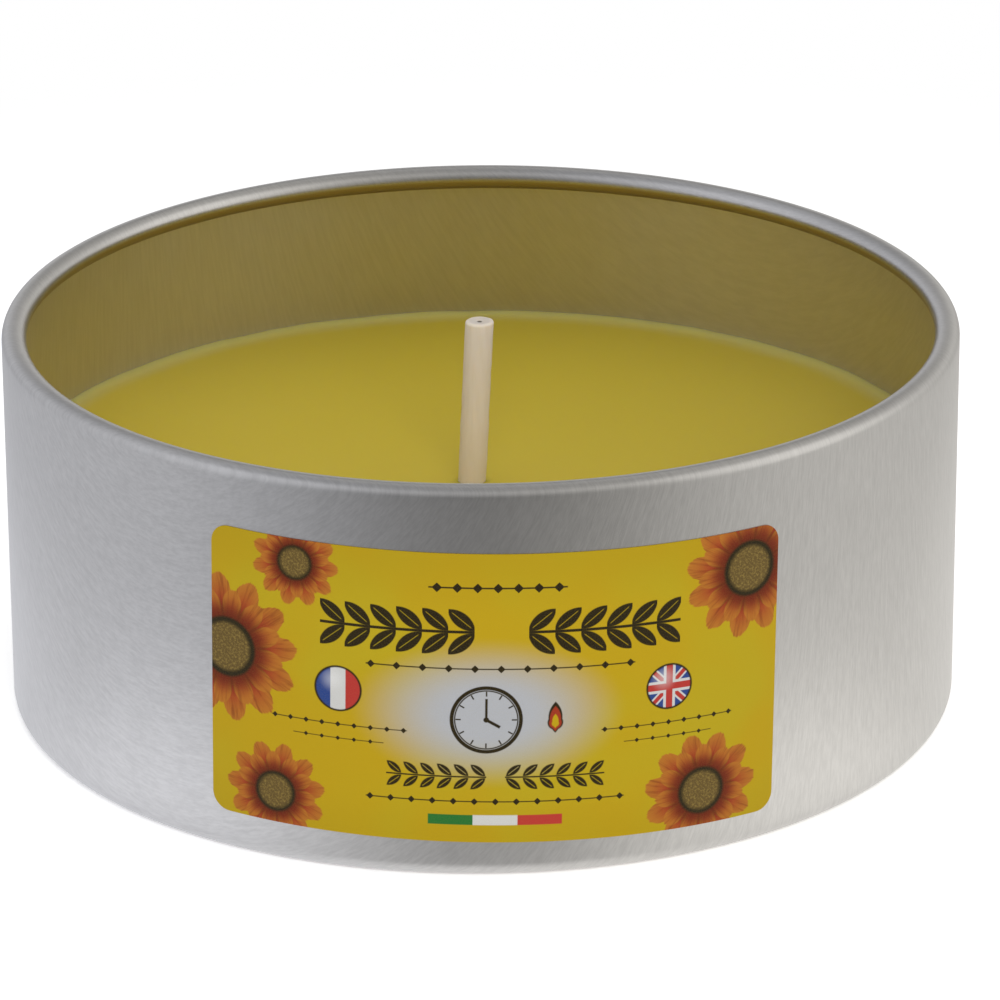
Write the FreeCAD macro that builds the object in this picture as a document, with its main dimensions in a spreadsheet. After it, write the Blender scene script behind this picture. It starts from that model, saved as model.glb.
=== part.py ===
import FreeCAD, Part
import math
import os
import Sketcher

# Wax candle poured in a round drawn tin: the tin with its rolled rim, the wax, a thick wick
# in a stamped sustainer that is glued to the base, and a paper label on the wall.
# Millimetres, +Z up. The origin is the centre of the base, on the surface that the tin
# stands on, and the label is on the -Y side.

SIZES = {
    # Drawn tin: one thickness of sheet all over, with its rim rolled inward
    "can_diameter": 120.0,
    "can_height": 50.0,
    "sheet_thickness": 0.25,
    "corner_radius": 2.0,
    "curl_diameter": 3.1,
    "curl_turn": 305.0,
    # Base: a ring that the tin stands on, round a panel that is raised by a sloping step
    "ring_width": 9.0,
    "panel_rise": 0.8,
    "step_slope": 50.0,
    # Wax: its level below the rim, how far its middle sinks, and how it climbs the wall
    "headspace": 21.5,
    "wax_sink": 1.4,
    "meniscus_reach": 1.1,
    "meniscus_rise": 0.45,
    # Wick: how far it leans from upright and how far its tip is below the rim
    "wick_diameter": 3.55,
    "wick_lean": 2.9,
    "wick_bend_radius": 40.0,
    "tip_drop": 0.9,
    "tip_bevel": 0.3,
    "pinhole_diameter": 0.35,
    "pinhole_depth": 1.2,
    # Sustainer: a stamped disc with a neck that is crimped in round the foot of the wick
    "foot_offset": -2.2,
    "tab_diameter": 24.0,
    "tab_thickness": 0.3,
    "neck_height": 6.0,
    "neck_flare": 0.6,
    "crimp_height": 3.9,
    "crimp_depth": 0.25,
    "crimp_radius": 2.0,
    # Glue between the sustainer and the base
    "glue_diameter": 19.0,
    "glue_thickness": 0.4,
    # Label, with its width and shift measured along the wall
    "label_width": 71.3,
    "label_height": 37.0,
    "label_bottom": 4.8,
    "label_shift": 1.6,
    "label_tilt": 1.05,
    "label_corner": 2.3,
    "label_thickness": 0.1,
}

# How many short straight stretches each round stretch of a section is drawn in
CORNER_CHORDS = 3
ROLL_OVER_CHORDS = 3
ROLL_UNDER_CHORDS = 4
CRIMP_CHORDS = 2
DISH_RINGS = 2

# The two ends and the centre of a line or circle in a sketch, its origin and its two axes
START = 1
END = 2
CENTRE = 3
ORIGIN = (-1, 1)
ACROSS_AXIS = -1
UP_AXIS = -2

# Places that several pieces share, worked out from the sizes
WALL = "sizes.can_diameter / 2"
SHEET = "sizes.sheet_thickness"
PANEL_EDGE = "(sizes.can_diameter / 2 - sizes.ring_width)"
SLOPE = "sizes.step_slope * 1 deg"
PANEL_TOP = "(sizes.panel_rise + sizes.sheet_thickness)"
TAB_BOTTOM = "(sizes.panel_rise + sizes.sheet_thickness + sizes.glue_thickness)"
BORE = "sizes.wick_diameter / 2"
NECK = "(sizes.wick_diameter / 2 + sizes.tab_thickness)"

doc = FreeCAD.newDocument("tin_candle")
sheet = doc.addObject("Spreadsheet::Sheet", "sizes")
for row, (alias, size) in enumerate(SIZES.items(), start=1):
    sheet.set(f"A{row}", alias)
    sheet.set(f"B{row}", str(size))
    sheet.setAlias(f"B{row}", alias)
doc.recompute()


def value(expression):
    """Work out an expression from the sheet, in millimetres or degrees."""
    return float(sheet.evalExpression(expression))


def point(across, up):
    return FreeCAD.Vector(across, up, 0)


def tie(sketch, kind, item, end, expression):
    """Tie one coordinate of a point to an expression, or lay the point on its zero axis."""
    if expression == "0":
        axis = UP_AXIS if kind == "DistanceX" else ACROSS_AXIS
        sketch.addConstraint(Sketcher.Constraint("PointOnObject", item, end, axis))
        return
    distance = Sketcher.Constraint(kind, *ORIGIN, item, end, value(expression))
    index = sketch.addConstraint(distance)
    sketch.setExpression(f"Constraints[{index}]", expression)


def draw_outline(sketch, corners):
    """Close an outline through its corners, each a pair of expressions for across and up."""
    places = [point(value(across), value(up)) for across, up in corners]
    for start, end in zip(places, places[1:] + places[:1]):
        sketch.addGeometry(Part.LineSegment(start, end), False)
    for item, (across, up) in enumerate(corners):
        before = (item - 1) % len(corners)
        sketch.addConstraint(Sketcher.Constraint("Coincident", before, END, item, START))
        tie(sketch, "DistanceX", item, START, across)
        tie(sketch, "DistanceY", item, START, up)


def draw_circle(sketch, radius):
    """Draw a circle on the sketch's origin."""
    circle = Part.Circle(point(0, 0), FreeCAD.Vector(0, 0, 1), value(radius))
    item = sketch.addGeometry(circle, False)
    sketch.addConstraint(Sketcher.Constraint("Coincident", item, CENTRE, *ORIGIN))
    index = sketch.addConstraint(Sketcher.Constraint("Radius", item, value(radius)))
    sketch.setExpression(f"Constraints[{index}]", radius)


def bend(across, up, radius, start, turn, chords):
    """Corners along a round stretch about a centre, from a start angle through a turn."""
    corners = []
    for chord in range(chords + 1):
        angle = f"({start} + {turn} * {chord} / {chords})"
        corners.append(
            (f"{across} + ({radius}) * cos({angle})", f"{up} + ({radius}) * sin({angle})")
        )
    return corners


def new_body(name):
    body = doc.addObject("PartDesign::Body", name)
    body.Label = name
    return body


def new_sketch(body, name, role="XZ_Plane"):
    sketch = body.newObject("Sketcher::SketchObject", name)
    plane = next(item for item in body.Origin.OriginFeatures if item.Role == role)
    sketch.AttachmentSupport = [(plane, "")]
    sketch.MapMode = "FlatFace"
    return sketch


def turn_section(body, name, corners, feature="PartDesign::Revolution"):
    """Turn a section once round the upright axis of the body."""
    section = new_sketch(body, name + "_section")
    draw_outline(section, corners)
    turned = body.newObject(feature, name)
    turned.Profile = section
    turned.ReferenceAxis = (section, ["V_Axis"])
    turned.Angle = 360
    doc.recompute()


def base_skin(inset):
    """Corners of one skin of the tin's base, from the axis out to the foot of the wall.

    The panel comes down to the ring by a sloping step, and the ring turns up into the wall.
    The inset is 0 for the outside of the sheet and its thickness for the inside.
    """
    panel_up = f"sizes.panel_rise + {inset}"
    step_across = f"{PANEL_EDGE} + {inset} * tan({SLOPE} / 2)"
    step_run = f"sizes.panel_rise / tan({SLOPE})"
    step = [(step_across, panel_up), (f"{step_across} + {step_run}", inset)]
    corner = bend(
        f"{WALL} - sizes.corner_radius", "sizes.corner_radius",
        f"sizes.corner_radius - {inset}", "270 deg", "90 deg", CORNER_CHORDS,
    )
    return [("0", panel_up), *step, *corner]


def rim_skin(inset):
    """Corners of one skin of the rim, which rolls inward and round nearly to the wall."""
    across = f"{WALL} - sizes.curl_diameter / 2"
    up = "sizes.can_height - sizes.curl_diameter / 2"
    radius = f"sizes.curl_diameter / 2 - {inset}"
    rest = "(sizes.curl_turn - 90) * 1 deg"
    over = bend(across, up, radius, "0 deg", "90 deg", ROLL_OVER_CHORDS)
    under = bend(across, up, radius, "90 deg", rest, ROLL_UNDER_CHORDS)
    return over + under[1:]


def make_tin():
    """Drawn tin, open inside its rolled rim."""
    body = new_body("tin_can")
    outside = base_skin("0") + rim_skin("0")
    inside = base_skin(SHEET) + rim_skin(SHEET)
    turn_section(body, "drawn_sheet", outside + inside[::-1])
    return body


def make_wax_block():
    """Poured wax up to its level, lying against the tin's inside skin."""
    body = new_body("wax_block")
    level = "(sizes.can_height - sizes.headspace)"
    shore = f"({WALL} - {SHEET} - sizes.meniscus_reach)"
    meniscus = [(f"{WALL} - {SHEET}", f"{level} + sizes.meniscus_rise"), (shore, level)]
    dish = []
    for ring in range(1, DISH_RINGS):
        share = 1 - ring / DISH_RINGS
        dish.append((f"{shore} * {share}", f"{level} - sizes.wax_sink * {1 - share ** 2}"))
    middle = ("0", f"{level} - sizes.wax_sink")
    turn_section(body, "poured_wax", [*base_skin(SHEET), *meniscus, *dish, middle])
    return body


def crimp_skin(inset):
    """Corners up one skin of the crimp, where the neck is pressed into the wick."""
    half_turn = (
        f"acos((sizes.crimp_radius - sizes.crimp_depth - {inset})"
        f" / (sizes.crimp_radius - {inset}))"
    )
    return bend(
        f"{BORE} - sizes.crimp_depth + sizes.crimp_radius", "sizes.crimp_height",
        f"sizes.crimp_radius - {inset}", f"180 deg + {half_turn}", f"-2 * {half_turn}",
        CRIMP_CHORDS,
    )


def stand_on_foot(body, height):
    """Place a body over the foot of the wick, at a height above the origin."""
    body.setExpression("Placement.Base.x", "sizes.foot_offset")
    body.setExpression("Placement.Base.z", height)


def make_sustainer():
    """Stamped disc with a neck drawn up from its middle, crimped in round the wick."""
    body = new_body("wick_sustainer")
    flare = [
        (f"{NECK} + sizes.neck_flare", "sizes.tab_thickness"),
        (NECK, "sizes.tab_thickness + sizes.neck_flare"),
    ]
    disc = [
        (BORE, "0"),
        ("sizes.tab_diameter / 2", "0"),
        ("sizes.tab_diameter / 2", "sizes.tab_thickness"),
    ]
    lip = [(NECK, "sizes.neck_height"), (BORE, "sizes.neck_height")]
    outside = [*disc, *flare, *crimp_skin("sizes.tab_thickness"), *lip]
    turn_section(body, "stamped_tab", outside + crimp_skin("0")[::-1])
    stand_on_foot(body, TAB_BOTTOM)
    return body


def make_glue():
    """Pad of hot glue under the sustainer, spread a little wider where it lies on the base."""
    body = new_body("sustainer_glue")
    pad = [
        ("0", "0"),
        ("sizes.glue_diameter / 2", "0"),
        ("sizes.glue_diameter / 2 - sizes.glue_thickness", "sizes.glue_thickness"),
        ("0", "sizes.glue_thickness"),
    ]
    turn_section(body, "glue_pad", pad)
    stand_on_foot(body, PANEL_TOP)
    return body


def wick_path(body):
    """Draw the wick's centre line: upright through the neck, a gentle bend, then leaning."""
    path = new_sketch(body, "wick_path")
    neck = value("sizes.neck_height")
    radius = value("sizes.wick_bend_radius")
    lean = math.radians(value("sizes.wick_lean"))
    tip_up = f"sizes.can_height - sizes.tip_drop - {TAB_BOTTOM}"
    bend_end = point(radius * (1 - math.cos(lean)), neck + radius * math.sin(lean))
    tip_rise = value(tip_up) - bend_end.y
    tip = bend_end + point(tip_rise * math.tan(lean), tip_rise)
    bow_circle = Part.Circle(point(radius, neck), FreeCAD.Vector(0, 0, 1), radius)

    foot_run = path.addGeometry(Part.LineSegment(point(0, 0), point(0, neck)), False)
    bow = path.addGeometry(Part.ArcOfCircle(bow_circle, math.pi - lean, math.pi), False)
    lean_run = path.addGeometry(Part.LineSegment(bend_end, tip), False)
    path.addConstraint(Sketcher.Constraint("Coincident", foot_run, START, *ORIGIN))
    path.addConstraint(Sketcher.Constraint("Vertical", foot_run))
    path.addConstraint(Sketcher.Constraint("Tangent", foot_run, END, bow, END))
    path.addConstraint(Sketcher.Constraint("Tangent", bow, START, lean_run, START))
    tie(path, "DistanceY", foot_run, END, "sizes.neck_height")
    tie(path, "DistanceY", lean_run, END, tip_up)
    index = path.addConstraint(Sketcher.Constraint("Radius", bow, radius))
    path.setExpression(f"Constraints[{index}]", "sizes.wick_bend_radius")
    index = path.addConstraint(Sketcher.Constraint("Angle", bow, lean))
    path.setExpression(f"Constraints[{index}]", "sizes.wick_lean * 1 deg")
    return path


def top_edge(shape):
    """Name of the edge whose middle lies highest."""
    heights = [edge.CenterOfMass.z for edge in shape.Edges]
    return f"Edge{heights.index(max(heights)) + 1}"


def make_wick():
    """Round wick with a bevelled tip, a pinhole in it and a waist where it is crimped."""
    body = new_body("wick")
    path = wick_path(body)
    round_section = new_sketch(body, "wick_round", "XY_Plane")
    draw_circle(round_section, BORE)
    doc.recompute()

    cord = body.newObject("PartDesign::AdditivePipe", "wick_cord")
    cord.Profile = round_section
    cord.Spine = (path, ["Edge1", "Edge2", "Edge3"])
    doc.recompute()

    tip = body.newObject("PartDesign::Chamfer", "wick_tip")
    tip.Base = (cord, [top_edge(cord.Shape)])
    tip.setExpression("Size", "sizes.tip_bevel")
    doc.recompute()

    pin_section = body.newObject("Sketcher::SketchObject", "pinhole_round")
    pin_section.AttachmentSupport = [(path, "Edge3"), (path, "Vertex4")]
    pin_section.MapMode = "NormalToEdge"
    draw_circle(pin_section, "sizes.pinhole_diameter / 2")
    pinhole = body.newObject("PartDesign::Pocket", "pinhole")
    pinhole.Profile = pin_section
    pinhole.setExpression("Length", "sizes.pinhole_depth")
    doc.recompute()

    turn_section(body, "crimp_waist", crimp_skin("0"), "PartDesign::Groove")
    stand_on_foot(body, TAB_BOTTOM)
    return body


def make_wax(wax_block, let_in):
    """Wax block less the room that the wick, its sustainer and the glue take up."""
    room = doc.addObject("Part::MultiFuse", "wick_room")
    room.Shapes = let_in
    wax = doc.addObject("Part::Cut", "wax_fill")
    wax.Label = "wax_fill"
    wax.Base = wax_block
    wax.Tool = room
    return wax


def upright_cylinder(name, radius):
    """Cylinder on the origin, as high as the tin."""
    item = doc.addObject("Part::Cylinder", name)
    item.setExpression("Radius", radius)
    item.setExpression("Height", "sizes.can_height")
    return item


def make_label():
    """Paper label on the wall: a thin ring cut to a rounded outline that is tilted a little.

    The outline is flat, so its width is the chord of the label's width along the wall.
    """
    ring = doc.addObject("Part::Cut", "label_ring")
    ring.Base = upright_cylinder("label_outside", f"{WALL} + sizes.label_thickness")
    ring.Tool = upright_cylinder("label_inside", WALL)

    half_chord = f"{WALL} * sin(sizes.label_width / sizes.can_diameter * 1 rad)"
    half_height = "sizes.label_height / 2"
    blank = doc.addObject("Part::Box", "label_blank")
    blank.setExpression("Length", f"2 * {half_chord}")
    blank.setExpression("Width", "sizes.can_diameter")
    blank.setExpression("Height", "sizes.label_height")
    doc.recompute()

    rounded = doc.addObject("Part::Fillet", "label_rounded")
    rounded.Base = blank
    corner = value("sizes.label_corner")
    rounded.Edges = [
        (number, corner, corner)
        for number, edge in enumerate(blank.Shape.Edges, start=1)
        if abs(edge.tangentAt(edge.FirstParameter).y) > 0.5
    ]
    tilt = "sizes.label_tilt * 1 deg"
    middle_across = f"{WALL} * sin(2 * sizes.label_shift / sizes.can_diameter * 1 rad)"
    middle_up = f"(sizes.label_bottom + {half_height})"
    rounded.Placement.Rotation = FreeCAD.Rotation(FreeCAD.Vector(0, 1, 0), 1)
    rounded.setExpression("Placement.Rotation.Angle", tilt)
    rounded.setExpression(
        "Placement.Base.x",
        f"{middle_across} - {half_chord} * cos({tilt}) - {half_height} * sin({tilt})",
    )
    rounded.setExpression("Placement.Base.y", "-sizes.can_diameter")
    rounded.setExpression(
        "Placement.Base.z",
        f"{middle_up} + {half_chord} * sin({tilt}) - {half_height} * cos({tilt})",
    )

    label = doc.addObject("Part::Common", "label")
    label.Label = "label"
    label.Base = ring
    label.Tool = rounded
    return label


def check_document():
    """Stop if any object of the document failed to build."""
    doc.recompute()
    failed = [
        item.Name for item in doc.Objects if "Invalid" in item.State or "Error" in item.State
    ]
    if failed:
        raise RuntimeError(f"These objects failed to build: {failed}")


def export(pieces):
    """Check each piece's shape, then write each piece to its own STEP file."""
    for piece in pieces:
        shape = piece.Shape
        if shape.isNull() or not shape.isValid() or len(shape.Solids) != 1:
            raise RuntimeError(f"{piece.Label} is not one valid solid")
    os.makedirs("parts", exist_ok=True)
    for piece in pieces:
        piece.Shape.exportStep(f"parts/{piece.Label}.step")
        print(f"{piece.Label}: {piece.Shape.Volume:.1f} mm3")


tin_can = make_tin()
wick = make_wick()
wick_sustainer = make_sustainer()
sustainer_glue = make_glue()
wax_fill = make_wax(make_wax_block(), [wick, wick_sustainer, sustainer_glue])
label = make_label()
check_document()
export([tin_can, wax_fill, wick, wick_sustainer, sustainer_glue, label])
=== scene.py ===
import math

import bpy
from bpy.props import FloatProperty, FloatVectorProperty, IntProperty, PointerProperty
from mathutils import Matrix, Vector


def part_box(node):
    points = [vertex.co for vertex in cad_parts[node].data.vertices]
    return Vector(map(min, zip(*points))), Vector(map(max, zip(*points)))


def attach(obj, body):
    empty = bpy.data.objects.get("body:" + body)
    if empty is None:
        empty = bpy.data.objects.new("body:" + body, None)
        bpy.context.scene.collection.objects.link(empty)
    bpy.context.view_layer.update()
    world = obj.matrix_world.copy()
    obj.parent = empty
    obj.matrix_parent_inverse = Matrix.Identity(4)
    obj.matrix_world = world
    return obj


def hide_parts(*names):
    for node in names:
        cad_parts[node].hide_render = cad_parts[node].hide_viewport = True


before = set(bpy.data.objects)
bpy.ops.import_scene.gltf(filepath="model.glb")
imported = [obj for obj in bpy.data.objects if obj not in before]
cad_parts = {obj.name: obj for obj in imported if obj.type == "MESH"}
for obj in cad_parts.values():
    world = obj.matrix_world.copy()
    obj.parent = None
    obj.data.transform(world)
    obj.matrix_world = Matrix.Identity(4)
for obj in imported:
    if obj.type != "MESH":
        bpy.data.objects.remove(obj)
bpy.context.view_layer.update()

# Wax candle in a drawn tin with a rolled rim, on a pale floor in soft studio light.
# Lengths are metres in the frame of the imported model: +Z up, the label on the -Y side and the
# origin at the middle of the base.

bl_info = {
    "name": "Citronella tin candle",
    "version": (1, 0, 0),
    "blender": (4, 5, 0),
    "location": "View3D > Sidebar > Tin candle",
    "description": "Models the tin, wax, wick and label of a tin candle round its packed frame",
    "category": "Object",
}

MM = 0.001
TIN_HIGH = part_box("tin_can")[1]
WAX_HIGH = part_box("wax_fill")[1]
WICK_LOW, WICK_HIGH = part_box("wick")
TAB_LOW, TAB_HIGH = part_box("wick_sustainer")
GLUE_LOW, GLUE_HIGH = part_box("sustainer_glue")
FOOT = (TAB_LOW.x + TAB_HIGH.x) / 2

# The camera that the photograph's outline gives: where it stands and how it is turned
CAMERA_PLACE = Vector((0, -730.0, 313.9)) * MM
CAMERA_PITCH = math.radians(21.600)
CAMERA_YAW = math.radians(0.181)
CAMERA_ROLL = math.radians(-0.307)
CAMERA_LENS = 222.71
SENSOR_WIDTH = 36.0

# Strength of the even light from all round, and the tints of what the tin mirrors
FILL = 0.80
COOL = (0.90, 0.91, 0.965)
WARM = (1.00, 0.975, 0.93)
WHITE = (1.0, 1.0, 1.0)

# The two windows that the tin mirrors: where they are and how bright
RIGHT_WINDOW = (0.90, -0.15, 0.41)
RIGHT_GAIN = 0.42
LEFT_WINDOW = (-0.78, -0.38, 0.50)
LEFT_GAIN = 0.17

# The soft lamp above and behind the camera: its place, its aim, its side and its power in watts
LAMP_PLACE = Vector((0.12, -0.86, 0.50))
LAMP_AIM = Vector((0, 0, 0.03))
LAMP_SIDE = 0.50
LAMP_POWER = 3.5

FLOOR_RADIUS = 3.0

# How much further out a point of the wall lay in the flat sheet, for each radius of its height
DRAWN_IN = 0.76


def length(name, description, default):
    return FloatProperty(
        name=name, description=description, default=default, unit="LENGTH", precision=5
    )


def degrees(name, description, default):
    return FloatProperty(
        name=name, description=description, default=math.radians(default), subtype="ANGLE"
    )


def colour(name, description, default):
    return FloatVectorProperty(
        name=name, description=description, default=default, subtype="COLOR", min=0, max=1
    )


class TinSettings(bpy.types.PropertyGroup):
    """Sizes and colours of the drawn tin."""

    radius: length("Radius", "Outside radius of the wall", TIN_HIGH.x)
    height: length("Height", "From the floor to the top of the rim", TIN_HIGH.z)
    sheet: length("Sheet", "Thickness of the tinplate", 0.25 * MM)
    corner: length("Corner", "Radius between the base and the wall", 2.0 * MM)
    curl: length("Curl", "Radius of the rolled rim", 1.55 * MM)
    curl_turn: degrees("Curl turn", "How far round the rim is rolled", 305)
    ring: length("Ring", "Width of the ring that the tin stands on", 9.0 * MM)
    rise: length("Rise", "How far the middle of the base is raised", 0.8 * MM)
    slope: degrees("Slope", "How steep the step beside the ring is", 50)
    step: length("Step", "Radius of the two bends beside the ring", 0.8 * MM)
    segments: IntProperty(name="Segments", description="Divisions round the tin", default=288)
    grain: degrees("Grain", "Direction of the sheet's brushing, from +X", -38)
    silver: colour("Silver", "Bare brushed tinplate", (0.600, 0.594, 0.584))
    gold: colour("Gold", "Lacquer inside the tin", (0.618, 0.580, 0.508))


class WaxSettings(bpy.types.PropertyGroup):
    """Sizes and colours of the poured wax."""

    shore: length("Shore", "Height at which the wax meets the wall", WAX_HIGH.z)
    climb: length("Climb", "How far the wax climbs the wall", 0.45 * MM)
    climb_reach: length("Climb reach", "Width of the band that climbs the wall", 2.0 * MM)
    sink: length("Sink", "How far the middle of the wax has sunk", 1.4 * MM)
    collar: length("Collar", "How far the wax climbs the wick", 0.55 * MM)
    collar_reach: length("Collar reach", "Width of the band that climbs the wick", 1.1 * MM)
    waves: length("Waves", "How uneven the edge of the wax is", 0.16 * MM)
    segments: IntProperty(name="Segments", description="Divisions round the wax", default=192)
    deep: colour("Deep", "Wax where it is thick", (0.600, 0.460, 0.032))
    thin: colour("Thin", "Wax where it thins out on the wall", (0.535, 0.448, 0.112))


class WickSettings(bpy.types.PropertyGroup):
    """Sizes and colours of the wick."""

    radius: length("Radius", "Radius of the cord", 1.775 * MM)
    lean: degrees("Lean", "How far the wick leans towards +X", 2.9)
    bend: length("Bend", "Radius in which the wick starts to lean", 40.0 * MM)
    pinhole: length("Pinhole", "Radius of the hole in the tip", 0.175 * MM)
    pinhole_depth: length("Pinhole depth", "Depth of the hole in the tip", 1.2 * MM)
    edge: length("Edge", "Rounding of the tip", 0.3 * MM)
    neck: length("Neck", "Height of the sustainer's neck", 6.0 * MM)
    tab: length("Tab", "Thickness of the sustainer", 0.3 * MM)
    flare: length("Flare", "Size of the neck's root", 0.6 * MM)
    crimp_up: length("Crimp height", "Height of the crimp above the tab's foot", 3.9 * MM)
    crimp_depth: length("Crimp depth", "How far the neck is pressed in", 0.25 * MM)
    crimp_radius: length("Crimp radius", "Radius of the groove that the crimp leaves", 2.0 * MM)
    segments: IntProperty(name="Segments", description="Divisions round the wick", default=64)
    cotton: colour("Cotton", "Waxed cotton", (0.680, 0.605, 0.520))
    soaked: colour("Soaked", "Cotton where the wax has soaked in", (0.660, 0.555, 0.390))


class LabelSettings(bpy.types.PropertyGroup):
    """Sizes and colours of the paper label."""

    width: length("Width", "Width along the wall", 71.3 * MM)
    height: length("Height", "Height of the paper", 37.0 * MM)
    bottom: length("Bottom", "Height of the lower edge", 4.8 * MM)
    shift: length("Shift", "How far the label sits to the right", 1.6 * MM)
    tilt: degrees("Tilt", "How far the label is turned clockwise", 1.05)
    corner: length("Corner", "Radius of the corners", 2.3 * MM)
    thickness: length("Thickness", "Thickness of the paper", 0.1 * MM)
    yellow: colour("Yellow", "Field of the print", (0.465, 0.308, 0.006))
    lemon: colour("Lemon", "Greener patches of the field", (0.440, 0.337, 0.010))
    glow: colour("Glow", "Pale middle of the print", (0.400, 0.415, 0.450))
    ink: colour("Ink", "Dark brown lines and leaves", (0.013, 0.009, 0.005))
    petal: colour("Petal", "Orange red of the blossoms", (0.310, 0.028, 0.013))
    petal_tip: colour("Petal tip", "Tips of the petals", (0.430, 0.155, 0.020))
    eye: colour("Eye", "Brown middle of the blossoms", (0.110, 0.070, 0.022))


class CandleSettings(bpy.types.PropertyGroup):
    """All that can be changed on the candle."""

    tin: PointerProperty(type=TinSettings)
    wax: PointerProperty(type=WaxSettings)
    wick: PointerProperty(type=WickSettings)
    label: PointerProperty(type=LabelSettings)


# Modelling

def leave_edit_mode():
    bpy.ops.object.mode_set(mode="OBJECT")


def close_up():
    """Turn all the faces outward and leave edit mode."""
    bpy.ops.mesh.select_all(action="SELECT")
    bpy.ops.mesh.normals_make_consistent(inside=False)
    leave_edit_mode()


def start_circle(name, segments, ring, fill="NOTHING"):
    """Add a circle at a ring, which is its middle's x, its radius and its height."""
    across, radius, up = ring
    bpy.ops.object.select_all(action="DESELECT")
    bpy.ops.mesh.primitive_circle_add(
        vertices=segments, radius=radius, fill_type=fill, location=(across, 0, up)
    )
    bpy.ops.object.transform_apply(location=True, rotation=False, scale=False)
    piece = bpy.context.object
    piece.name = name
    piece.data.name = name
    bpy.ops.object.mode_set(mode="EDIT")
    bpy.ops.mesh.select_mode(type="EDGE")
    if fill == "NOTHING":
        bpy.ops.mesh.select_all(action="SELECT")
    else:
        bpy.ops.mesh.select_all(action="DESELECT")
        bpy.ops.mesh.select_non_manifold()
    return piece


def draw_out(rings):
    """Extrude the selected ring from the first of the rings through all the others."""
    for (across, radius, up), (next_across, next_radius, next_up) in zip(rings, rings[1:]):
        move = (next_across - across, 0, next_up - up)
        bpy.ops.mesh.extrude_region_move(TRANSFORM_OT_translate={"value": move})
        grow = next_radius / radius
        bpy.ops.transform.resize(
            value=(grow, grow, 1), center_override=(next_across, 0, next_up)
        )


def arc(across, up, radius, start, turn, steps, first=1):
    """Rings along a round stretch of a profile, angles in degrees, its start left out."""
    angles = [math.radians(start + turn * step / steps) for step in range(first, steps + 1)]
    return [
        (0, across + radius * math.cos(angle), up + radius * math.sin(angle))
        for angle in angles
    ]


def pick(piece):
    """Select this piece alone."""
    bpy.ops.object.select_all(action="DESELECT")
    piece.select_set(True)
    bpy.context.view_layer.objects.active = piece


def finish_with(piece, kind, **settings):
    """Add a modifier with these settings and apply it."""
    pick(piece)
    modifier = piece.modifiers.new(kind.lower(), kind)
    for name, setting in settings.items():
        setattr(modifier, name, setting)
    bpy.ops.object.modifier_apply(modifier=modifier.name)


def clouds(name, size, depth):
    """Texture that makes a piece uneven."""
    texture = bpy.data.textures.new(name, "CLOUDS")
    texture.noise_scale = size
    texture.noise_depth = depth
    return texture


def place(piece, node, sharp=40):
    """Shade a piece smooth below an angle in degrees, and hand it over in place of a node."""
    pick(piece)
    bpy.ops.object.shade_smooth_by_angle(angle=math.radians(sharp))
    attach(piece, "root")
    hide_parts(node)


def base_step(tin, skin):
    """Rings of the step between the raised panel and the ring, on the outside or further in."""
    slope = math.degrees(tin.slope)
    panel = tin.radius - tin.ring
    ring = panel + tin.rise / math.tan(tin.slope)
    bend = tin.step * math.tan(tin.slope / 2)
    return [
        *arc(panel - bend, tin.rise - tin.step, tin.step + skin, 90, -slope, 4, first=0),
        *arc(ring + bend, tin.step, tin.step - skin, 270 - slope, slope, 4, first=0),
    ]


def wick_middle(wick, up):
    """How far across the wick's middle is at a height: upright in the neck, then leaning."""
    neck_top = TAB_LOW.z + wick.neck
    risen = up - neck_top
    bend_rise = wick.bend * math.sin(wick.lean)
    if risen <= 0:
        return FOOT
    if risen <= bend_rise:
        return FOOT + wick.bend - math.sqrt(wick.bend ** 2 - risen ** 2)
    bend_run = wick.bend * (1 - math.cos(wick.lean))
    return FOOT + bend_run + (risen - bend_rise) * math.tan(wick.lean)


def crimp_rings(wick, skin):
    """Rings of the crimp on the bore of the neck, or on its outside for the tab's skin."""
    middle = wick.radius - wick.crimp_depth + wick.crimp_radius
    radius = wick.crimp_radius - skin
    half = math.acos((radius - wick.crimp_depth) / radius)
    up = TAB_LOW.z + wick.crimp_up
    return [
        (FOOT, middle - radius * math.cos(turn), up + radius * math.sin(turn))
        for turn in (-half, 0, half)
    ]


# Materials

def shade(tone, share):
    """A share of a colour."""
    return tuple(part * share for part in tone)


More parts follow.
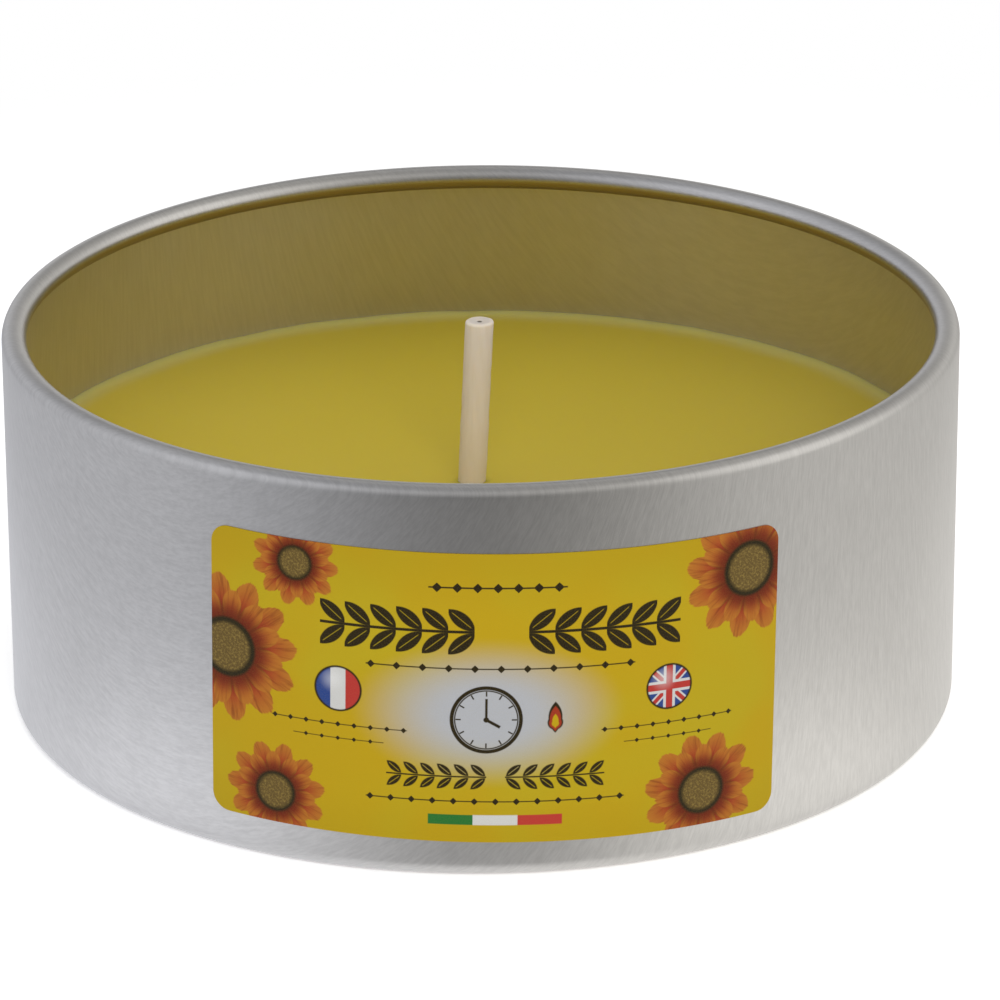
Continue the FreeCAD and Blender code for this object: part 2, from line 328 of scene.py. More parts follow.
class Nodes:
    """The node tree of a material or a world, and the nodes that are added to it."""

    def __init__(self, owner):
        owner.use_nodes = True
        self.tree = owner.node_tree
        self.tree.nodes.clear()

    def node(self, kind, *values, **settings):
        """Add a node with these settings, and feed its first sockets in order."""
        made = self.tree.nodes.new(kind)
        for name, setting in settings.items():
            setattr(made, name, setting)
        for socket, value in zip(made.inputs, values):
            self.join(value, socket)
        return made

    def join(self, output, socket):
        """Feed a socket from another node's output, or set it to a plain value."""
        if isinstance(output, bpy.types.NodeSocket):
            self.tree.links.new(output, socket)
        else:
            socket.default_value = output

    def feed(self, made, **values):
        """Feed a node's sockets by their names, with a low line for each space in a name."""
        for name, value in values.items():
            self.join(value, made.inputs[name.replace("_", " ")])
        return made

    def locate(self, spot):
        """Take up where a point is, and how far it lies from the middle."""
        self.spot = spot
        self.x, self.y, self.z = self.split(spot)
        self.out = self.length(self.combine(self.x, self.y))

    def math(self, operation, *values, clamp=False):
        return self.node(
            "ShaderNodeMath", *values, operation=operation, use_clamp=clamp
        ).outputs[0]

    def times(self, first, second):
        return self.math("MULTIPLY", first, second)

    def less(self, first, second):
        return self.math("SUBTRACT", first, second)

    def scaled(self, value, factor, base):
        """Multiply a value and add it to another."""
        return self.math("MULTIPLY_ADD", value, factor, base)

    def away(self, value):
        """How far a value is from zero."""
        return self.math("ABSOLUTE", value)

    def vector(self, operation, *values):
        made = self.node("ShaderNodeVectorMath", *values, operation=operation)
        return made.outputs["Value" if operation in ("LENGTH", "DOT_PRODUCT") else "Vector"]

    def length(self, vector):
        return self.vector("LENGTH", vector)

    def split(self, vector):
        return self.node("ShaderNodeSeparateXYZ", vector).outputs

    def combine(self, x, y, z=0.0):
        return self.node("ShaderNodeCombineXYZ", x, y, z).outputs[0]

    def ramp(self, value, low, high, to_low=0.0, to_high=1.0, smooth=True):
        """Carry a value from one range to another, and hold it at the ends."""
        kind = "SMOOTHSTEP" if smooth else "LINEAR"
        return self.node(
            "ShaderNodeMapRange", value, low, high, to_low, to_high, interpolation_type=kind
        ).outputs[0]

    def blend(self, share, first, second):
        """Mix two colours. A plain colour has three numbers."""
        made = self.node("ShaderNodeMix", data_type="RGBA")
        for name, setting in (("Factor_Float", share), ("A_Color", first), ("B_Color", second)):
            socket = next(item for item in made.inputs if item.identifier == name)
            if not isinstance(setting, (bpy.types.NodeSocket, float, int)):
                setting = (*setting, 1.0)
            self.join(setting, socket)
        return next(item for item in made.outputs if item.identifier == "Result_Color")


class Studio(Nodes):
    """The floor or the world, with how bright the tin mirrors it in each direction."""

    def __init__(self, owner, coordinates):
        super().__init__(owner)
        self.locate(self.node("ShaderNodeTexCoord").outputs[coordinates])
        self.paths = self.node("ShaderNodeLightPath").outputs
        self.side = self.math("DIVIDE", self.x, self.out)
        self.back = self.math("DIVIDE", self.y, self.out)
        self.front = self.times(self.back, -1.0)

    def dimmed(self, level, share, bearing, power):
        """Take a share of a level away about a bearing, narrower with a higher power."""
        wedge = self.math("POWER", self.math("MAXIMUM", bearing, 0.0), power)
        return self.times(level, self.less(1.0, self.times(share, wedge)))

    def tinted(self, level):
        """Give a level its tint, cool on the left and warm on the right."""
        tint = self.blend(self.ramp(self.side, -0.8, 0.5), COOL, WARM)
        return self.vector("MULTIPLY", tint, self.combine(level, level, level))


class Surface(Nodes):
    """A material of the candle."""

    def __init__(self, name, **shader):
        self.material = bpy.data.materials.new(name)
        super().__init__(self.material)
        self.shader = self.feed(self.node("ShaderNodeBsdfPrincipled"), **shader)
        self.node("ShaderNodeOutputMaterial", self.shader.outputs[0])
        self.locate(self.node("ShaderNodeTexCoord").outputs["Object"])

    def drive(self, socket, output):
        """Feed one of the shader's own sockets."""
        self.join(output, self.shader.inputs[socket])

    def mapping(self, vector, location=(0, 0, 0), rotation=(0, 0, 0), scale=(1, 1, 1)):
        return self.node("ShaderNodeMapping", vector, location, rotation, scale).outputs[0]

    def noise(self, vector, scale, detail=2.0, roughness=0.5, distortion=0.0):
        return self.feed(
            self.node("ShaderNodeTexNoise"), Vector=vector, Scale=scale, Detail=detail,
            Roughness=roughness, Distortion=distortion,
        ).outputs["Fac"]

    def bump(self, height, strength, distance):
        made = self.node("ShaderNodeBump", strength, distance)
        self.drive("Normal", self.feed(made, Height=height).outputs[0])


def brushed_grain(surface, tin):
    """Noise along the brushing of the flat sheet, followed up the wall that was drawn from it.

    A point on the wall lay further out in the flat sheet the higher it is now, so the brushing
    is upright where it ran outward and slants or lies level elsewhere.
    """
    reach = surface.scaled(surface.z, DRAWN_IN / tin.radius, 1.0)
    flat = surface.combine(surface.times(surface.x, reach), surface.times(surface.y, reach))
    turned = surface.mapping(flat, rotation=(0, 0, -tin.grain))
    narrow, wide = (
        surface.mapping(turned, scale=scale) for scale in ((640, 3600, 1), (210, 1500, 1))
    )
    fine = surface.noise(narrow, 1.0, detail=3, roughness=0.65)
    broad = surface.noise(wide, 1.0, roughness=0.55, distortion=0.3)
    return fine, broad, surface.noise(flat, 42.0)


def silver_surface(tin):
    """Bare tinplate with a satin brushing, and painted shade under the rolled rim."""
    surface = Surface("brushed_tinplate", Metallic=1.0)
    fine, broad, cloud = brushed_grain(surface, tin)
    marks = surface.scaled(fine, 0.65, surface.times(broad, 0.35))
    streaked = surface.blend(
        surface.ramp(marks, 0.32, 0.68), shade(tin.silver, 0.85), tin.silver
    )
    # Painted shade: the inner, lower side of the rolled rim is tinted dark brown where the rim
    # shades itself and the wall below it.
    shoulder = tin.height - tin.curl
    under = surface.ramp(surface.z, shoulder + 0.2 * MM, shoulder - 0.4 * MM)
    inward = surface.ramp(surface.out, tin.radius - 1.2 * MM, tin.radius - 1.8 * MM)
    brown = (0.36, 0.29, 0.26)
    surface.drive("Base Color", surface.blend(surface.times(under, inward), streaked, brown))
    surface.drive("Roughness", surface.scaled(fine, 0.08, surface.scaled(cloud, 0.10, 0.25)))
    surface.bump(marks, 0.34, 0.06 * MM)
    return surface.material


def gold_surface(tin):
    """Lacquer on the inside of the tin."""
    surface = Surface("gold_lacquer", Metallic=1.0)
    fine, broad, cloud = brushed_grain(surface, tin)
    marks = surface.scaled(fine, 0.3, surface.times(broad, 0.7))
    streaked = surface.blend(surface.ramp(marks, 0.3, 0.7), shade(tin.gold, 0.92), tin.gold)
    surface.drive("Base Color", streaked)
    surface.drive("Roughness", surface.scaled(cloud, 0.12, 0.34))
    surface.bump(marks, 0.14, 0.05 * MM)
    return surface.material


def wax_surface(wax):
    """Translucent yellow wax that pales where it thins out on the wall, with painted shade towards
    the back.
    """
    surface = Surface(
        "citronella_wax", Roughness=0.42, Subsurface_Weight=0.55, Subsurface_Scale=0.004,
        Subsurface_Radius=(1.0, 0.75, 0.15), IOR=1.44, Specular_IOR_Level=0.4,
    )
    spot = surface.spot
    wander = surface.noise(spot, 95.0)
    edge = TIN_HIGH.x - wax.climb_reach
    worn = surface.scaled(wander, 1.2 * MM, surface.out)
    rim = surface.ramp(worn, edge - 1.2 * MM, edge + 1.8 * MM)
    patches = surface.noise(spot, 28.0)
    body = surface.blend(patches, wax.deep, shade(wax.deep, 0.93))
    # Painted shade: the wax is darkened towards the back and the right, where the wall of the tin
    # shades it.
    behind = surface.scaled(surface.x, 0.5, surface.y)
    far = surface.ramp(behind, -20 * MM, 55 * MM, 0.0, 0.75)
    body = surface.blend(far, body, shade(wax.deep, 0.84))
    surface.drive("Base Color", surface.blend(rim, body, wax.thin))
    surface.drive("Roughness", surface.scaled(patches, 0.10, 0.38))
    surface.bump(surface.noise(spot, 260.0, detail=3), 0.10, 0.15 * MM)
    return surface.material


def wick_surface(wick):
    """Cotton cord soaked in wax, with painted shade on the top of the tip and in the pinhole."""
    surface = Surface(
        "waxed_cotton", Subsurface_Weight=0.5, Subsurface_Scale=0.0016,
        Subsurface_Radius=(1.0, 0.8, 0.5),
    )
    spot = surface.spot
    upright = surface.mapping(spot, scale=(2600, 2600, 240))
    streaks = surface.noise(upright, 1.0, detail=3, roughness=0.6)
    blots = surface.noise(surface.mapping(spot, scale=(520, 520, 160)), 1.0)
    foot = surface.ramp(surface.z, WAX_HIGH.z - 3 * MM, WICK_HIGH.z, 0.75, 0.0, smooth=False)
    blotted = surface.less(blots, 0.5)
    tone = surface.math("MULTIPLY_ADD", blotted, 0.5, foot, clamp=True)
    body = surface.blend(tone, wick.cotton, wick.soaked)
    strands = surface.ramp(streaks, 0.35, 0.8, 0.0, 0.22)
    body = surface.blend(strands, body, shade(wick.soaked, 0.85))
    across = surface.less(surface.x, wick_middle(wick, WICK_HIGH.z))
    out = surface.length(surface.combine(across, surface.y))
    # Painted shade: the flat top of the tip is darkened, so that it looks no brighter than the side
    # under the light from above.
    top = surface.ramp(surface.z, WICK_HIGH.z - 0.45 * MM, WICK_HIGH.z - 0.25 * MM)
    cut = surface.times(top, surface.ramp(out, wick.radius * 0.88, wick.radius * 0.62))
    body = surface.blend(cut, body, shade(wick.cotton, 0.84))
    # Painted shade: the pinhole and a ring round it on the tip are painted almost black.
    hole = surface.ramp(out, wick.pinhole * 2.2, wick.pinhole * 1.2)
    surface.drive("Base Color", surface.blend(hole, body, (0.08, 0.06, 0.04)))
    surface.drive("Roughness", surface.scaled(blots, 0.2, 0.48))
    surface.bump(streaks, 0.3, 0.12 * MM)
    return surface.material


def tinned_steel():
    """Bright steel with faint handling marks."""
    tone = (0.60, 0.60, 0.59)
    surface = Surface("tinned_steel", Metallic=1.0)
    marks = surface.noise(surface.spot, 900.0, detail=3, roughness=0.6)
    surface.drive("Base Color", surface.blend(marks, tone, shade(tone, 0.85)))
    surface.drive("Roughness", surface.scaled(marks, 0.2, 0.25))
    return surface.material


def glue_surface():
    """Hot glue, milky and a little uneven."""
    surface = Surface("hot_glue", Subsurface_Weight=0.4, Subsurface_Scale=0.002, Roughness=0.35)
    cloud = surface.noise(surface.spot, 400.0)
    surface.drive("Base Color", surface.blend(cloud, (0.82, 0.76, 0.60), (0.74, 0.66, 0.48)))
    return surface.material


class Print(Surface):
    """The print on the label, drawn in millimetres from the middle of the paper."""

    def __init__(self, label):
        super().__init__("printed_paper", Roughness=0.42, Specular_IOR_Level=0.12)
        self.label = label
        uv = self.node("ShaderNodeUVMap", uv_map="print").outputs[0]
        size = (label.width / MM, label.height / MM, 1)
        middle = (-size[0] / 2, -size[1] / 2, 0)
        self.locate(self.mapping(uv, location=middle, scale=size))
        self.colour = label.yellow

    def local(self, at, turn=0.0):
        """Coordinates from a point on the label, with x turned by an angle in degrees."""
        moved = self.vector("SUBTRACT", self.spot, (*at, 0))
        if turn:
            moved = self.mapping(moved, rotation=(0, 0, -math.radians(turn)))
        return moved

    def inside(self, distance, soft=0.10):
        """A mask from a distance that is negative inside the shape."""
        return self.ramp(distance, soft, -soft)

    def paint(self, mask, tone):
        """Lay a colour on the print where the mask is."""
        self.colour = self.blend(mask, self.colour, tone)

    def either(self, *masks):
        joined = masks[0]
        for mask in masks[1:]:
            joined = self.math("MAXIMUM", joined, mask)
        return joined

    def both(self, *masks):
        joined = masks[0]
        for mask in masks[1:]:
            joined = self.times(joined, mask)
        return joined

    def disc(self, spot, radius, soft=0.10):
        return self.inside(self.less(self.length(spot), radius), soft)

    def circle_line(self, spot, radius, width):
        off = self.away(self.less(self.length(spot), radius))
        return self.inside(self.less(off, width / 2), 0.07)

    def bar(self, spot, half_width, half_height, soft=0.07):
        x, y, _ = self.split(spot)
        past_x = self.less(self.away(x), half_width)
        past_y = self.less(self.away(y), half_height)
        return self.inside(self.math("MAXIMUM", past_x, past_y), soft)

    def leaf(self, x, y, half_length, half_width):
        """A shape that is pointed at both ends of its x."""
        radius = (half_length ** 2 + half_width ** 2) / (2 * half_width)
        sunk = self.math("ADD", self.away(y), radius - half_width)
        out = self.length(self.combine(x, sunk))
        return self.inside(self.less(out, radius), 0.08)

    def lozenge(self, x, y, half):
        reach = self.math("ADD", self.away(x), self.away(y))
        return self.inside(self.less(reach, half), 0.07)


def paint_field(sheet):
    """Yellow field with greener patches and a pale glow in the middle."""
    label = sheet.label
    patches = sheet.noise(sheet.spot, 0.055)
    sheet.paint(sheet.ramp(patches, 0.42, 0.66, 0.0, 0.8), label.lemon)
    high = sheet.ramp(sheet.y, 9.0, 18.6, 0.0, 0.45)
    low = sheet.ramp(sheet.y, -12.0, -18.6, 0.0, 0.25)
    sheet.paint(sheet.math("ADD", high, low), shade(label.yellow, 0.80))
    oval = sheet.mapping(sheet.local((-1.0, -1.8)), scale=(1 / 17.0, 1 / 10.0, 1))
    sheet.paint(sheet.ramp(sheet.length(oval), 1.0, 0.28, 0.0, 0.98), label.glow)


def paint_blossom(sheet, at, radius, petals, turn):
    """Blossom of broad round petals in two layers, with a speckled eye."""
    label = sheet.label
    spot = sheet.local(at)
    x, y, _ = sheet.split(spot)
    out = sheet.length(spot)
    angle = sheet.math("ARCTAN2", y, x)
    eye = radius * 0.40

    drawn_out = sheet.combine(sheet.times(angle, 9.0), sheet.times(out, 0.12))
    veins = sheet.noise(drawn_out, 1.6, detail=3, roughness=0.7)
    for reach, shift in ((1.0, 0.0), (0.80, 180.0 / petals)):
        phase = math.radians(turn + shift)
        swing = sheet.times(sheet.less(angle, phase), petals / 2)
        wave = sheet.away(sheet.math("COSINE", swing))
        rounded = sheet.math("POWER", wave, 0.55)
        ragged = sheet.scaled(veins, 0.10, sheet.times(rounded, 0.40))
        edge = sheet.times(sheet.math("ADD", ragged, 0.53), radius * reach)
        share = sheet.math("DIVIDE", out, edge)
        tone = sheet.blend(sheet.ramp(share, 0.50, 1.06), label.petal, label.petal_tip)
        dark = shade(label.petal, 0.42)
        tone = sheet.blend(sheet.ramp(wave, 0.42, 0.05, 0.0, 0.75), tone, dark)
        tone = sheet.blend(sheet.ramp(veins, 0.45, 0.72, 0.0, 0.5), tone, dark)
        sheet.paint(sheet.inside(sheet.less(out, edge), 0.14), tone)

    shadow = sheet.ramp(out, eye * 1.75, eye, 0.0, 0.85)
    sheet.paint(shadow, shade(label.petal, 0.30))
    speckle = sheet.noise(spot, 3.2, detail=3, roughness=0.75)
    gold = (0.240, 0.165, 0.045)
    tone = sheet.blend(sheet.ramp(speckle, 0.46, 0.66), label.eye, gold)
    sheet.paint(sheet.disc(spot, eye, 0.25), label.ink)
    sheet.paint(sheet.disc(spot, eye * 0.80, 0.35), tone)


def paint_garland(sheet, at, half_width, gap, pitch, leaf_length, leaf_width):
    """Garland of pairs of leaves along a stem, which start at a gap in the middle."""
    x, y, _ = sheet.split(sheet.local(at))
    along = sheet.less(sheet.away(x), gap)
    off = sheet.away(y)
    cell = sheet.less(sheet.math("FLOORED_MODULO", along, pitch), pitch / 2)
    slant = math.radians(40)
    lift = leaf_length / 2 * math.sin(slant) + 0.12
    raised = sheet.less(off, lift)
    turned = sheet.mapping(sheet.combine(cell, raised), rotation=(0, 0, -slant))
    leaf_x, leaf_y, _ = sheet.split(turned)
    leaves = sheet.leaf(leaf_x, leaf_y, leaf_length / 2, leaf_width / 2)
    vein = sheet.inside(sheet.less(sheet.away(leaf_y), 0.05), 0.05)
    inner = sheet.ramp(sheet.away(leaf_x), leaf_length * 0.38, leaf_length * 0.3)
    vein = sheet.both(vein, inner, sheet.ramp(leaf_width, 0.8, 0.9, 0.0, 0.65))
    leaves = sheet.less(leaves, sheet.both(leaves, vein))
    stem = sheet.inside(sheet.less(off, leaf_width * 0.10), 0.06)
    started = sheet.ramp(along, -0.01, 0.01)
    ended = sheet.ramp(along, half_width - gap + 0.01, half_width - gap - 0.01)
    sheet.paint(sheet.both(sheet.either(leaves, stem), started, ended), sheet.label.ink)


def paint_rule(sheet, at, half_width, pitch, half):
    """Thin rule with a row of small lozenges on it."""
    spot = sheet.local(at)
    x, y, _ = sheet.split(spot)
    beads = sheet.math("PINGPONG", x, pitch / 2)
    row = sheet.both(sheet.lozenge(beads, y, half), sheet.bar(spot, half_width, half))
    line = sheet.bar(spot, half_width, half * 0.16)
    sheet.paint(sheet.either(row, line), sheet.label.ink)


def paint_dial(sheet, at, radius):
    """Plain clock dial: two rings, twelve ticks and two hands."""
    spot = sheet.local(at)
    x, y, _ = sheet.split(spot)
    angle = sheet.math("ARCTAN2", y, x)
    hour = math.radians(30)
    nearest = sheet.math("PINGPONG", sheet.math("ADD", angle, math.pi), hour / 2)
    out = sheet.length(spot)
    off = sheet.times(nearest, out)
    thin = sheet.inside(sheet.less(off, 0.09), 0.06)
    outer = sheet.ramp(out, radius * 0.72, radius * 0.75)
    ticks = sheet.both(thin, outer, sheet.ramp(out, radius * 0.90, radius * 0.88))
    marks = [
        sheet.circle_line(spot, radius, 0.46), sheet.circle_line(spot, radius * 0.91, 0.16),
        ticks, sheet.disc(spot, 0.34, 0.07),
    ]
    for turn, reach, width in ((90, 0.66, 0.15), (-30, 0.46, 0.19)):
        middle = radius * reach / 2
        hand = sheet.mapping(spot, rotation=(0, 0, -math.radians(turn)))
        hand = sheet.vector("SUBTRACT", hand, (middle, 0, 0))
        marks.append(sheet.bar(hand, middle, width))
    sheet.paint(sheet.either(*marks), sheet.label.ink)


def paint_flame(sheet, at, size):
    """Small flame: a pointed drop with two lighter ones in it."""
    label = sheet.label
    across, up = at
    for share, tone in ((1.0, label.ink), (0.80, label.petal), (0.45, label.yellow)):
        drop = size * share
        spot = sheet.local((across, up - size * (1 - share) * 0.45), 90)
        x, y, _ = sheet.split(spot)
        point = sheet.leaf(x, y, drop, drop * 0.42)
        belly = sheet.disc(sheet.vector("ADD", spot, (drop * 0.34, 0, 0)), drop * 0.47)
        sheet.paint(sheet.either(point, belly), tone)


def paint_bands(sheet, spot, width, left, middle, right):
    """Three upright bands of one width, side by side."""
    x = sheet.split(spot)["X"]
    tone = sheet.blend(sheet.ramp(x, -width / 2 - 0.05, -width / 2 + 0.05), left, middle)
    return sheet.blend(sheet.ramp(x, width / 2 - 0.05, width / 2 + 0.05), tone, right)


def paint_roundel(sheet, at, radius, crossed):
    """Roundel in a dark ring: blue, white and red bands, or crosses on a blue field."""
    blue, white, red = (0.015, 0.05, 0.22), (0.56, 0.56, 0.55), (0.42, 0.03, 0.03)
    spot = sheet.local(at)
    if crossed:
        tone = blue
        for turn, width in ((45, 0.17), (0, 0.27)):
            turned = sheet.mapping(spot, rotation=(0, 0, math.radians(turn)))
            arm_x, arm_y, _ = sheet.split(turned)
            near = sheet.math("MINIMUM", sheet.away(arm_x), sheet.away(arm_y))
            for share, paint in ((1.0, white), (0.55, red)):
                arm = sheet.inside(sheet.less(near, radius * width * share), 0.05)
                tone = sheet.blend(arm, tone, paint)
    else:
        tone = paint_bands(sheet, spot, radius * 2 / 3, blue, white, red)
    sheet.paint(sheet.disc(spot, radius + 0.14), sheet.label.ink)
    sheet.paint(sheet.disc(spot, radius - 0.1), tone)
    shine = sheet.vector("ADD", spot, (radius * 0.25, -radius * 0.4, 0))
    glint = sheet.ramp(sheet.length(shine), radius * 0.7, 0.0, 0.0, 0.35)
    sheet.paint(sheet.both(glint, sheet.disc(spot, radius - 0.2)), (0.8, 0.8, 0.8))


def paint_stripe(sheet, at, half_width, half_height):
    """Stripe of green, white and red fields."""
    green, white, red = (0.012, 0.15, 0.03), (0.58, 0.58, 0.56), (0.45, 0.035, 0.03)
    spot = sheet.local(at)
    tone = paint_bands(sheet, spot, half_width * 2 / 3, green, white, red)
    sheet.paint(sheet.bar(spot, half_width, half_height), tone)


def label_surface(label):
    """Printed paper with a satin face, its print placed in millimetres from the middle."""
    sheet = Print(label)
    paint_field(sheet)
    paint_blossom(sheet, at=(-33.5, 3.0), radius=9.6, petals=12, turn=8)
    paint_blossom(sheet, at=(-24.5, 15.5), radius=5.6, petals=11, turn=30)
    paint_blossom(sheet, at=(-27.0, -14.5), radius=6.6, petals=11, turn=12)
    paint_blossom(sheet, at=(31.5, 13.5), radius=8.8, petals=12, turn=20)
    paint_blossom(sheet, at=(25.5, -14.0), radius=7.6, petals=11, turn=5)
    paint_rule(sheet, at=(0, 14.2), half_width=8.2, pitch=2.4, half=0.62)
    paint_garland(
        sheet, at=(0.5, 8.6), half_width=21.75, gap=3.2, pitch=3.1,
        leaf_length=4.3, leaf_width=1.8,
    )
    paint_rule(sheet, at=(0.5, 3.9), half_width=16.1, pitch=3.1, half=0.50)
    paint_dial(sheet, at=(-1.2, -2.6), radius=4.1)
    paint_flame(sheet, at=(7.0, -2.4), size=2.0)
    for side, crossed in ((-19.0, False), (21.0, True)):
        paint_roundel(sheet, at=(side, 0.2), radius=2.8, crossed=crossed)
        paint_rule(sheet, at=(side, -4.4), half_width=8.4, pitch=2.0, half=0.36)
        paint_rule(sheet, at=(side, -6.2), half_width=5.6, pitch=2.0, half=0.30)
    paint_garland(
        sheet, at=(0, -10.0), half_width=13.05, gap=1.1, pitch=2.0,
        leaf_length=2.3, leaf_width=0.95,
    )
    paint_rule(sheet, at=(0, -13.2), half_width=15.5, pitch=2.5, half=0.45)
    paint_stripe(sheet, at=(0, -15.6), half_width=8.0, half_height=0.65)

    grain = sheet.noise(sheet.spot, 7.0, detail=3, roughness=0.7)
    fading = sheet.ramp(grain, 0.35, 0.75, 0.0, 0.14)
    sheet.drive("Base Color", sheet.blend(fading, sheet.colour, (0.30, 0.22, 0.03)))
    sheet.drive("Roughness", sheet.scaled(grain, 0.12, 0.36))
    sheet.bump(grain, 0.08, 0.03 * MM)
    return sheet.material


# Operators, one for each piece or group of pieces and one for the stage

class CANDLE_OT_add_tin(bpy.types.Operator):
    """Draw the tin from its base out, up the wall and round the rolled rim"""

    bl_idname = "candle.add_tin"
    bl_label = "Add tin"
    bl_options = {"REGISTER", "UNDO"}

    def execute(self, context):
        tin = context.scene.candle.tin
        panel = tin.radius - tin.ring
        foot = tin.radius - tin.corner
        shoulder = tin.height - tin.curl
        rings = [
            (0, panel * 0.35, tin.rise),
            (0, panel * 0.80, tin.rise),
            *base_step(tin, 0),
            *arc(foot, tin.corner, tin.corner, 270, 30, 4, first=0),
            *arc(foot, tin.corner, tin.corner, 300, 60, 8),
            (0, tin.radius, tin.height * 0.25),
            (0, tin.radius, tin.height * 0.60),
            (0, tin.radius, shoulder - tin.curl),
            (0, tin.radius, shoulder),
            *arc(
                tin.radius - tin.curl, shoulder, tin.curl, 0, math.degrees(tin.curl_turn), 30
            ),
        ]
        piece = start_circle("tin", tin.segments, rings[0], fill="TRIFAN")
        draw_out(rings)
        close_up()
        lowest = min(piece.data.polygons, key=lambda face: face.center.z)
        if lowest.normal.z > 0:
            bpy.ops.object.mode_set(mode="EDIT")
            bpy.ops.mesh.flip_normals()
            leave_edit_mode()
        piece.data.materials.append(silver_surface(tin))
        piece.data.materials.append(gold_surface(tin))
        finish_with(
            piece, "SOLIDIFY", thickness=tin.sheet, offset=-1, use_even_offset=True,
            use_quality_normals=True, material_offset=1, material_offset_rim=0,
        )
        place(piece, "tin_can")
        return {"FINISHED"}


class CANDLE_OT_add_wax(bpy.types.Operator):
    """Pour the wax round the wick and its sustainer and up to the wall of the tin"""

    bl_idname = "candle.add_wax"
    bl_label = "Add wax"
    bl_options = {"REGISTER", "UNDO"}

    def top(self, wax, wick):
        """Rings of the top, from the wick out to the wall."""
        wall = WAX_HIGH.x
        level = wax.shore - wax.climb
        # Gaps between the rings and the wick, then the wall, in millimetres
        from_wick = [0, 0.12, 0.3, 0.6, 1, 1.6, 2.6, 4.5, 7.5, 11, 16, 22, 28, 34, 40, 45, 49]
        from_wall = [6, 4.4, 3.2, 2.4, 1.9, 1.5, 1.15, 0.85, 0.6, 0.38, 0.2, 0.08, 0]
        radii = [wick.radius + gap * MM for gap in from_wick]
        radii += [wall - gap * MM for gap in from_wall]
        foot = wick_middle(wick, level - wax.sink)
        rings = []
        for radius in radii:
            up = level - wax.sink * (1 - (radius / wall) ** 2)
            up += wax.collar * math.exp(-(radius - wick.radius) / wax.collar_reach * 2.2)
            up += wax.climb * max(0.0, 1 - (wall - radius) / wax.climb_reach) ** 2.4
            share = min(1.0, (radius - wick.radius) / (16 * MM))
            rings.append((foot * (1 - share), radius, up))
        return rings

    def inside(self, tin, wick):
        """Rings down the wall, across the base and up round the glue, tab and wick."""
        sheet = tin.sheet
        foot = tin.radius - tin.corner
        neck = wick.radius + wick.tab
        neck_top = TAB_LOW.z + wick.neck
        glue = (GLUE_HIGH.x - GLUE_LOW.x) / 2
        tab = (TAB_HIGH.x - TAB_LOW.x) / 2
        tab_top = TAB_LOW.z + wick.tab
        glue_top = glue - (GLUE_HIGH.z - GLUE_LOW.z)
        below_top = WAX_HIGH.z - 1.4 * MM
        rises = [neck_top + (below_top - neck_top) * step / 8 for step in range(1, 8)]
        return [
            (0, tin.radius - sheet, tin.corner),
            *arc(foot, tin.corner, tin.corner - sheet, 0, -90, 8),
            *reversed(base_step(tin, sheet)),
            (FOOT, glue, GLUE_LOW.z), (FOOT, glue_top, GLUE_HIGH.z),
            (FOOT, tab, TAB_LOW.z), (FOOT, tab, tab_top),
            (FOOT, neck + wick.flare, tab_top), (FOOT, neck, tab_top + wick.flare),
            *crimp_rings(wick, wick.tab),
            (FOOT, neck, neck_top), (FOOT, wick.radius, neck_top),
            *[(wick_middle(wick, up), wick.radius, up) for up in rises],
        ]

    def execute(self, context):
        candle = context.scene.candle
        wax, wick = candle.wax, candle.wick
        rings = [*self.top(wax, wick), *self.inside(candle.tin, wick)]
        piece = start_circle("wax", wax.segments, rings[0])
        draw_out([*rings, rings[0]])
        bpy.ops.mesh.select_all(action="SELECT")
        bpy.ops.mesh.remove_doubles(threshold=0.002 * MM)
        close_up()

        shore = piece.vertex_groups.new(name="shore")
        wall = WAX_HIGH.x
        for vertex in piece.data.vertices:
            out = math.hypot(vertex.co.x, vertex.co.y)
            near = 1 - (wall - out) / (3.0 * MM)
            if near > 0 and vertex.co.z > wax.shore - 2 * wax.climb:
                shore.add([vertex.index], near ** 2, "REPLACE")
        finish_with(
            piece, "DISPLACE", texture=clouds("wax_ripple", 7.0 * MM, 1),
            texture_coords="LOCAL", direction="Z", vertex_group="shore",
            strength=-2 * wax.waves, mid_level=0.25,
        )
        piece.data.materials.append(wax_surface(wax))
        place(piece, "wax_fill", sharp=30)
        return {"FINISHED"}


